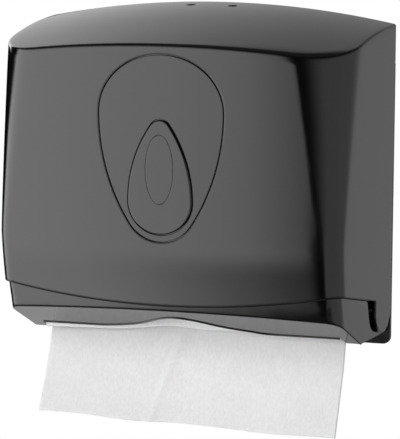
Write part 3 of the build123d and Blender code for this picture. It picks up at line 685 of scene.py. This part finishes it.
def drop_point(drop, grow, t):
    """A point of a drop's outline: t runs once round it, from 0 to 1."""
    half, wide, round_h, tip, tip_r = drop
    half, tip_r, up = half + grow, tip_r + grow, 1 if round_h > 0 else -1
    round_h, rise = abs(round_h) + grow, abs(wide - tip)
    side_r = (half**2 + rise**2 - tip_r**2) / (2 * (half - tip_r))
    last = atan2(rise, side_r - half)
    if t < ROUND_SHARE:
        angle = pi * t / ROUND_SHARE
        return half * cos(angle), wide + up * round_h * sin(angle)
    if ARC_END <= t < TIP_END:
        angle = pi - last - (pi - 2 * last) * (t - ARC_END) / TIP_SHARE
        return tip_r * cos(angle), tip - up * tip_r * sin(angle)
    if t < ARC_END:
        side, angle = -1, last * (t - ROUND_SHARE) / ARC_SHARE
    else:
        side, angle = 1, last * (1 - t) / ARC_SHARE
    return side * (half - side_r + side_r * cos(angle)), wide - up * side_r * sin(angle)


def drop_form(name, drop, levels, spokes=120):
    """A closed solid of drop outlines, each a (growth, height proud of the front, share)."""
    bm = bmesh.new()
    ring = bmesh.ops.create_circle(bm, cap_ends=False, segments=spokes, radius=1.0)["verts"]
    edges = bm.edges[:]
    centre = (drop[1] + drop[3]) / 2
    for level, (grow, out, share) in enumerate(levels):
        if level:
            made = bmesh.ops.extrude_edge_only(bm, edges=edges)["geom"]
            edges = [g for g in made if isinstance(g, bmesh.types.BMEdge)]
            ring = [g for g in made if isinstance(g, bmesh.types.BMVert)]
        for i, vertex in enumerate(ring):
            x, z = drop_point(drop, grow, i / spokes)
            x, z = x * share, centre + (z - centre) * share
            vertex.co = (x, front_y(x, z) - out, z)
    bmesh.ops.holes_fill(bm, edges=[e for e in bm.edges if e.is_boundary], sides=0)
    return solid(name, bm)


def drop_hole(name, drop, gap, chamfer, bottom):
    """The tool that cuts a drop-shaped hole or recess down to a depth, with a chamfered rim."""
    return drop_form(name, drop, [
        (gap, -bottom, 0.03), (gap, -bottom, 0.5), (gap, -bottom, 1.0), (gap, -chamfer, 1.0),
        (gap + chamfer + 0.002, 0.002, 1.0)])


# half width, height of the widest place, reach of the round end, height and radius of the tip
PANEL_DROP = (0.051, 0.0565, 0.044, -0.0128, 0.030)
INLAY_DROP = (0.0263, -0.0117, -0.0254, 0.0420, 0.009)
PANEL_GAP, INLAY_GAP = 0.0008, 0.0007
PANEL_CHAMFER = INLAY_CHAMFER = 0.0002

EDGE_LOW, EDGE_SLOPE, EDGE_FRONT, EDGE_ARC = -0.0932, 0.2, -0.131, 0.6947
FAR_OUT = 0.2                  # the cutting tools reach this far, past the cover


def low_edge_z(x, y):
    """The height of the cover's lower edge: it falls to the back and rises to both sides."""
    return EDGE_LOW + EDGE_SLOPE * (EDGE_FRONT - y) + EDGE_ARC - sqrt(EDGE_ARC**2 - x * x)


UNDER_WIDE, UNDER_DEEP, UNDER_MIDDLE = 0.34, 0.17, -0.075
below = bmesh.new()
bmesh.ops.create_grid(below, x_segments=60, y_segments=4, size=0.5)
for vertex in below.verts:
    x, y = vertex.co.x * UNDER_WIDE, UNDER_MIDDLE + vertex.co.y * UNDER_DEEP
    vertex.co = (x, y, low_edge_z(x, y))
for made in bmesh.ops.extrude_face_region(below, geom=below.faces[:])["geom"]:
    if isinstance(made, bmesh.types.BMVert):
        made.co.z = -FAR_OUT

EAR_RADIUS, EAR_FROM, EAR_TO, NECK_HIGH = 0.0175, 0.1, 0.18, 0.030
ears, necks = bmesh.new(), bmesh.new()
for side in (1, -1):
    rod(ears, (side * EAR_FROM, *PIVOT), (side * EAR_TO, *PIVOT), EAR_RADIUS, 64)
    x0, x1 = sorted((side * EAR_FROM, side * EAR_TO))
    block(necks, x0, x1, PIVOT[0] - EAR_RADIUS, PIVOT[0] + EAR_RADIUS,
          PIVOT[1], PIVOT[1] + NECK_HIGH)
under = shape(
    "under", solid("under", below),
    ("DIFFERENCE", solid("ears", ears)),
    ("DIFFERENCE", solid("necks", necks)),
)

REAR_FRONT, REAR_BACK, REAR_TOP = -0.0034, 0.03, 0.0855          # the plate's room in the back
behind_cover = bmesh.new()
block(behind_cover, -FAR_OUT, FAR_OUT, REAR_FRONT, REAR_BACK, -FAR_OUT, REAR_TOP)

KEY_X, KEY_Y, KEY_RADIUS = 0.0176, -0.0228, 0.0038
KEY_FROM, KEY_TO = 0.11, 0.14
keys = bmesh.new()
for x in (KEY_X, -KEY_X):
    rod(keys, (x, KEY_Y, KEY_FROM), (x, KEY_Y, KEY_TO), KEY_RADIUS)

HUB, HUB_RADIUS, PIN_HOLE, PIN_HOLE_RADIUS = (0.1332, 0.1395), 0.0065, (0.132, 0.1389), 0.00305
LUG_X, LUG_Y, LUG_Z = (0.029, 0.037), (-0.0172, -0.0142), (0.1065, 0.1272)
inside_parts, bores = bmesh.new(), bmesh.new()
for side in (1, -1):
    rod(inside_parts, (side * HUB[0], *PIVOT), (side * HUB[1], *PIVOT), HUB_RADIUS)
    rod(bores, (side * PIN_HOLE[0], *PIVOT), (side * PIN_HOLE[1], *PIVOT), PIN_HOLE_RADIUS)
    x0, x1 = sorted((side * LUG_X[0], side * LUG_X[1]))
    block(inside_parts, x0, x1, *LUG_Y, *LUG_Z)

BOSS_ARC, BOSS_TURNS = (0.0549, 0.0479), (18, 62, 118, 162)
BOSS_LOW = (0.04053, -0.0095)
BOSS_RADIUS, BOSS_FROM, BOSS_TO = 0.0026, -0.0012, 0.0022          # from the wall's inner face
PILOT_RADIUS, PILOT_FROM, PILOT_TO = 0.00125, -0.0010, 0.01
bosses = [(cos(radians(a)) * BOSS_ARC[0], PANEL_DROP[1] + sin(radians(a)) * BOSS_ARC[1])
          for a in BOSS_TURNS]
bosses += [BOSS_LOW, (-BOSS_LOW[0], BOSS_LOW[1])]
for x, z in bosses:
    skin = front_y(x, z) + WALL
    rod(inside_parts, (x, skin + BOSS_FROM, z), (x, skin + BOSS_TO, z), BOSS_RADIUS, 24)
    rod(bores, (x, skin + PILOT_FROM, z), (x, skin + PILOT_TO, z), PILOT_RADIUS, 16)

OUTSIDE_FOOT, INSIDE_FOOT, INSIDE_BACK = -0.135, -0.150, 0.012
WINDOW_DEEP = 0.02
cover = shape(
    "front_cover_shell",
    solid("outside", cover_form(0.0, COVER_BACK, OUTSIDE_FOOT, ROOF_EDGE)),
    ("DIFFERENCE", solid("inside", cover_form(WALL, INSIDE_BACK, INSIDE_FOOT))),
    ("DIFFERENCE", under),
    ("DIFFERENCE", solid("behind_cover", behind_cover)),
    ("DIFFERENCE", drop_hole("window", PANEL_DROP, PANEL_GAP, PANEL_CHAMFER, WINDOW_DEEP)),
    ("DIFFERENCE", solid("keys", keys)),
    ("UNION", solid("inside_parts", inside_parts)),
    ("DIFFERENCE", solid("bores", bores)),
)

EDGE_BEAD = EDGE_INSET = 0.0009
EDGE_RAISED = 0.0001
EDGE_GUESS = -0.093            # the height that the rounds start from


def lower_edge(step):
    """A point of the cover's lower edge, a little inside its outer face."""
    z = EDGE_GUESS
    for i in range(EDGE_ROUNDS):
        x, y = outline(step, z, EDGE_INSET, COVER_BACK)
        z = low_edge_z(x, y) + EDGE_RAISED
    return x, y, z


to_right = [lower_edge(step) for step in range(SIDE_STEPS // 2, STEPS + 1)]
to_left = [(-x, y, z) for x, y, z in to_right[:-1]]
# the lower edge's bead takes the dark matt finish: painted shade of the gap between cover and tray
edge_bead = bead_along("cover_edge_bead", to_left + to_right[::-1], EDGE_BEAD)
cover_plastic = plastic(
    "cover_gloss_black", COVER_SHADE, gloss=0.05, unevenness=0.03, grain=0.0000008, soften=0.0022)
for piece, material in ((cover, cover_plastic), (edge_bead, gap_shade_bead_plastic)):
    finish(piece, material)
    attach(piece, "cover")
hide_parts("front_cover")


# --- Window panel and drop inlay ------------------------------------------------------------
# A drop-shaped panel in the same gloss black fills the cover's window; a retainer ring behind
# holds it with six screws. The small drop on it stands proud, with an oval groove pressed in.

SEAT = 0.0014
PROUD = 0.0012
PEGS, PEG_RADIUS = (-0.0195, 0.0305), 0.0021
PEG_FROM, PEG_TO = -0.15, -0.10
pegs = bmesh.new()
for z in PEGS:
    rod(pegs, (0, PEG_FROM, z), (0, PEG_TO, z), PEG_RADIUS, 32)
RINGS = [0.03] + [i / 14 for i in range(1, 14)]          # a face's rings, as shares of its outline
panel_levels = [(0.0, -WALL, share) for share in RINGS]
panel_levels += [(0.0, -WALL, 1.0), (0.0, -PANEL_CHAMFER, 1.0), (-PANEL_CHAMFER, 0.0, 1.0)]
panel_levels += [(-PANEL_CHAMFER, 0.0, share) for share in reversed(RINGS)]
panel = shape(
    "window_panel_skin", drop_form("skin", PANEL_DROP, panel_levels),
    ("DIFFERENCE", drop_hole("recess", INLAY_DROP, INLAY_GAP, INLAY_CHAMFER, SEAT)),
    ("DIFFERENCE", solid("pegs", pegs)),
)
finish(panel, plastic(
    "panel_gloss_black", COVER_SHADE, gloss=0.05, unevenness=0.03, grain=0.0000008))
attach(panel, "cover")
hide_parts("window_panel")

INLAY_ROUND, INLAY_STEPS = 0.0011, 6
INLAY_FLAT = (-0.0022, -0.004)          # two rings of its flat top, in from its edge
SEAT_CLEAR = 0.0001
OVAL = (0.0115, 0.0267, 0.0130)          # half width, half height, height of its centre
GROOVE = [(0.0018, 0.00036), (0.0, -0.00014), (-0.0018, 0.00036)]
inlay_levels = [(0.0, SEAT_CLEAR - SEAT, 1.0)]
for i in range(INLAY_STEPS + 1):
    angle = pi / 2 * i / INLAY_STEPS
    in_from_edge, down = INLAY_ROUND * (1 - cos(angle)), INLAY_ROUND * (1 - sin(angle))
    inlay_levels.append((-in_from_edge, PROUD - down, 1.0))
inlay_levels += [(ring, PROUD, 1.0) for ring in INLAY_FLAT]
inlay_levels += [(INLAY_FLAT[1], PROUD, share) for share in reversed(RINGS)]


def oval_groove(name, section, spokes=96):
    """The tool that presses a groove: rings of (growth of the oval, height proud of the inlay)."""
    bm = bmesh.new()
    loops = []
    for grow, out in section:
        ring = bmesh.ops.create_circle(bm, cap_ends=False, segments=spokes, radius=1.0)["verts"]
        for vertex in ring:
            x, z = vertex.co.x * (OVAL[0] + grow), OVAL[2] + vertex.co.y * (OVAL[1] + grow)
            vertex.co = (x, front_y(x, z) - PROUD - out, z)
        loops.append([e for e in bm.edges if e.verts[0] in ring and e.verts[1] in ring])
    for near, far in zip(loops, loops[1:] + loops[:1]):
        bmesh.ops.bridge_loops(bm, edges=near + far)
    return solid(name, bm)


inlay = shape(
    "drop_inlay_body", drop_form("inlay", INLAY_DROP, inlay_levels),
    ("DIFFERENCE", oval_groove("groove", GROOVE)), sharp=14.0,
)
finish(inlay, plastic(
    "inlay_gloss_black", COVER_SHADE * 1.2, gloss=0.06, unevenness=0.03, grain=0.0000008))
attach(inlay, "cover")
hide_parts("drop_inlay")

finish_node("window_retainer", plastic(
    "retainer_satin_black", SATIN_SHADE, gloss=0.22, unevenness=0.06, grain=0.00001))
finish_node("inlay_push_nuts", spring_steel)


# --- Studio ---------------------------------------------------------------------------------
# A pale floor well below, a white background, and soft panels round the object: a long bright one
# in front on the left, a dim one on the right, dark gaps between them and low light behind. The
# gloss mirrors the panels, and neither the white nor the floor.

FLOOR_Z, FLOOR_HALF = -1.2, 12.0
FLOOR_PAINT = (0.9, 0.9, 0.9, 1)
floor_form = bmesh.new()
bmesh.ops.create_grid(floor_form, x_segments=1, y_segments=1, size=FLOOR_HALF)
bmesh.ops.translate(floor_form, verts=floor_form.verts, vec=(0, 0, FLOOR_Z))
floor = mesh_piece("floor", floor_form)
floor.visible_glossy = False


def plain_share(tree):
    """1 for rays that see the plain white, from the camera or through something clear."""
    paths = tree.nodes.new("ShaderNodeLightPath")
    seen, through = (Wire(paths.outputs[name]) for name in ("Is Camera Ray", "Is Transmission Ray"))
    return seen.maths("MINIMUM", seen + through, 1.0)


floor_paint = bpy.data.materials.new("floor_white")
floor_paint.use_nodes = True
tree = floor_paint.node_tree
tree.nodes["Principled BSDF"].inputs["Base Color"].default_value = FLOOR_PAINT
paint = Wire(tree.nodes["Principled BSDF"].outputs[0])
white = paint.node("ShaderNodeEmission")
mixed = paint.node("ShaderNodeMixShader", {0: plain_share(tree), 1: paint, 2: white})
tree.links.new(mixed.socket, tree.nodes["Material Output"].inputs[0])
finish(floor, floor_paint)

world = bpy.data.worlds.new("studio")
bpy.context.scene.world = world
world.use_nodes = True
tree = world.node_tree
direction = Wire(tree.nodes.new("ShaderNodeTexCoord").outputs["Generated"])
split = tree.nodes.new("ShaderNodeSeparateXYZ")
tree.links.new(direction.socket, split.inputs[0])
x, y, z = (Wire(s) for s in split.outputs)
around = x.maths("ARCTAN2", x, 0.0 - y) * (180 / pi)      # 0 in front, + to the right, in degrees
height = x.maths("ARCSINE", z) * (180 / pi)


def follow(wire, points):
    """A value that follows (input, output) points in straight lines."""
    low, high = points[0][0], points[-1][0]
    least, most = min(p[1] for p in points), max(p[1] for p in points)
    stops = [((a - low) / (high - low), (b - least) / (most - least)) for a, b in points]
    ramp = wire.node("ShaderNodeValToRGB", {"Fac": wire.between(low, high)}, {"stops": stops})
    return least + (most - least) * ramp


# bright panel in front: its strength from left to right, weaker low down on its right
bright = follow(around, [
    (-112, 2.6), (-74, 3.15), (-40, 3.6), (-33, 3.45), (-30, 3.3), (-20, 2.95),
    (-13.4, 2.5), (-11.3, 2.15), (-8.8, 1.68), (-6.8, 1.28), (-4, 0.9)])
panel_edge = follow(height, [
    (-28, -7.3), (-22, -6.8), (-9, -6.15), (-5.6, -5.8), (-2.3, -5.45),
    (-0.5, -5.8), (0.6, -5.7), (3, -8.2)])
left_end = follow(height, [(-28, -96), (-9, -103), (-3, -103), (0, -90), (3, -85)])
bright = bright * (1 - (around - panel_edge).rise(-0.5, 0.5))
bright = bright * (around - left_end).rise(-6.0, 3.0)
low_share = around.rise(-34.0, -4.0)
bright = bright * (1 - (0 - height).rise(13.0, 23.0) * (0.1 + 0.57 * low_share))
# dim panel on the right
DIM = 0.78
start = follow(height, [(-28, -4.5), (-22, -4.5), (-9, -6), (-3.4, -6), (2, 4)])
end = follow(height, [(-28, 11), (-22, 10), (-9, 5), (-3.4, 34), (2, 56)])
dim = DIM * ((around - start) / (end - start)).rise(0.0, 1.0)
dim = dim * (1 - 0.3 * around.rise(95.0, 135.0))
# both end above and below
above_end, below_end = height.rise(8.0, 24.0) * 0.97, (0 - height).rise(30.0, 34.0) * 0.9
front = (bright + dim) * (1 - above_end) * (1 - below_end)
# behind, above the horizon: soft light, stronger to the left; low behind, the pale floor
turned = (around + 165.0) / 20.0
low_sky, high_sky = 1 - height.rise(10.0, 28.0), height.rise(28.0, 42.0)
leftward = turned.maths("MAXIMUM", turned, 0.0) ** 1.5
behind = 0.285 + 0.006 * height + (0.8 + 0.2 * low_sky - 0.2 * high_sky) * leftward
behind = behind * (1 - height.rise(39.0, 46.0) * 0.9) * height.rise(-2.0, 1.0)
low_behind = 0.5 + 0.32 * around.rise(-157.0, -151.5)
behind = behind + low_behind * (0 - height).rise(22.0, 30.0)
is_behind = (0 - around).rise(112.0, 122.0)
studio = front * (1 - is_behind) + behind * is_behind
# right behind, and straight above
RIGHT_BACK, ABOVE = 0.45, 0.09
right_back = around.rise(164.0, 172.0)
studio = studio * (1 - right_back) + RIGHT_BACK * right_back * height.rise(-26.0, -16.0)
zenith = height.rise(52.0, 70.0)
studio = studio * (1 - zenith) + ABOVE * zenith

background = tree.nodes["Background"]
plain = plain_share(tree)
tree.links.new((studio * (1 - plain) + plain).socket, background.inputs["Strength"])
background.inputs["Color"].default_value = (1, 1, 1, 1)
world.cycles.sampling_method = "MANUAL"
world.cycles.sample_map_resolution = 1024

LAMPS_AIM = Vector((0, -0.08, -0.05))
LAMPS = [  # name, place, size, watts: three large soft boxes that the gloss doesn't mirror
    ("key", (-1.3, -2.2, 1.3), (1.8, 1.4), 40.0),
    ("fill", (1.6, -2.0, 0.3), (1.6, 1.6), 12.0),
    ("behind", (-0.8, 2.4, 1.0), (1.6, 1.6), 16.0),
]
for name, spot, (wide, high), watts in LAMPS:
    lamp = bpy.data.lights.new(name, "AREA")
    lamp.shape, lamp.size, lamp.size_y, lamp.energy = "RECTANGLE", wide, high, watts
    holder = put_in_scene(name, lamp)
    holder.location = spot
    holder.rotation_euler = (LAMPS_AIM - Vector(spot)).to_track_quat("-Z", "Y").to_euler()
    holder.visible_glossy = False

EYE = Vector((1.08368, -2.79842, 0.40459))
RIGHTWARD, UPWARD, INWARD = (Vector(v).normalized() for v in (
    (0.9306, 0.3658, -0.0099), (-0.045, 0.1414, 0.9889), (-0.3632, 0.9199, -0.1481)))
camera = bpy.data.cameras.new("camera")
camera.sensor_width = 36.0
camera.lens = 311.46
viewer = put_in_scene("camera", camera)
placed = Matrix((RIGHTWARD, UPWARD, -INWARD)).transposed().to_4x4()
placed.translation = EYE
viewer.matrix_world = placed
bpy.context.scene.camera = viewer
bpy.context.scene.view_settings.view_transform = "Standard"
